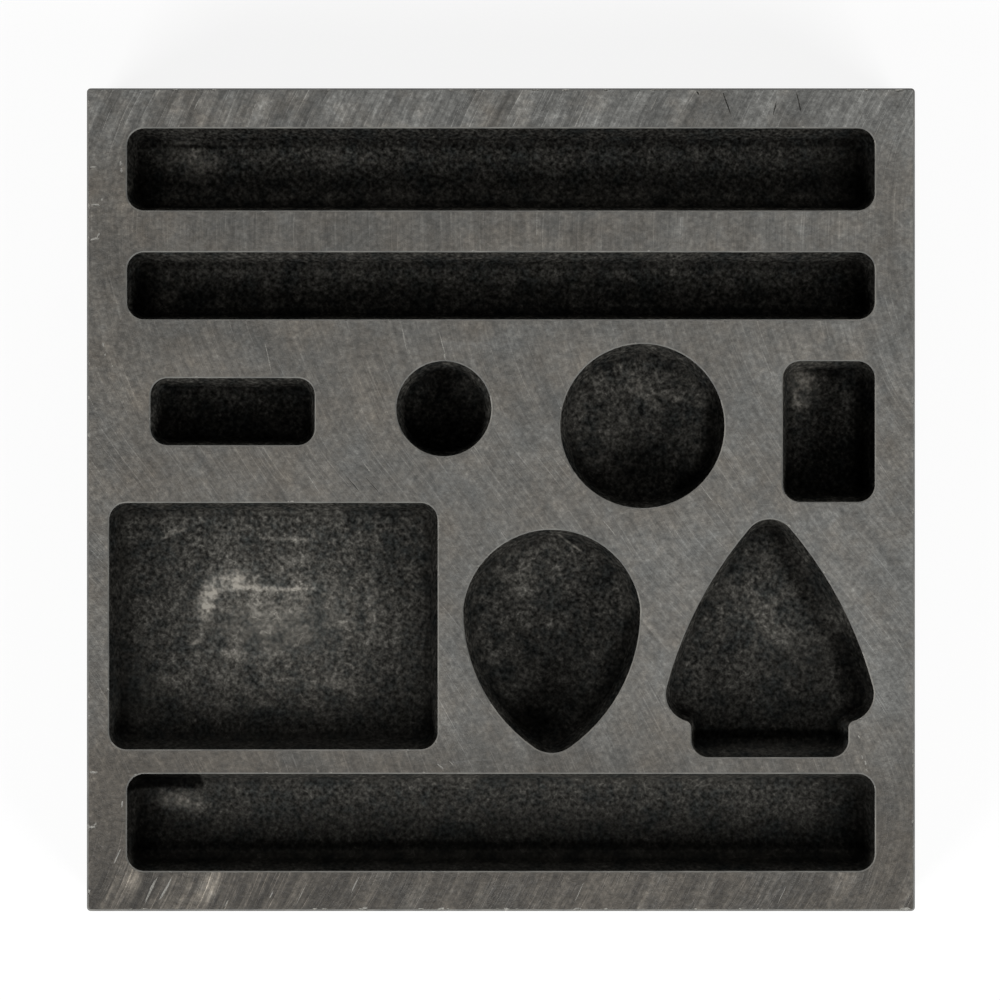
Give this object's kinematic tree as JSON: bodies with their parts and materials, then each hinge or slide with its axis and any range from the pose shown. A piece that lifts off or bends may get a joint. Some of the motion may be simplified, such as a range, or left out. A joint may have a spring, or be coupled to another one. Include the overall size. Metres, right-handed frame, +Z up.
{
  "type": "graphite casting mould",
  "caption": "Square open graphite mould block with tapered cavities for casting long bars, slabs, discs, a teardrop and an arrowhead.",
  "frame": {"origin": "middle of the underside, on the surface that the block rests on", "axes": "+X along the long bar cavities, +Y towards the edge with two bar cavities, +Z up out of the cavities"},
  "size_m": [0.127, 0.1262, 0.025],
  "materials": {
    "graphite": "matte"
  },
  "bodies": {
    "root": {"mould_block": "graphite"}
  },
  "joints": []
}
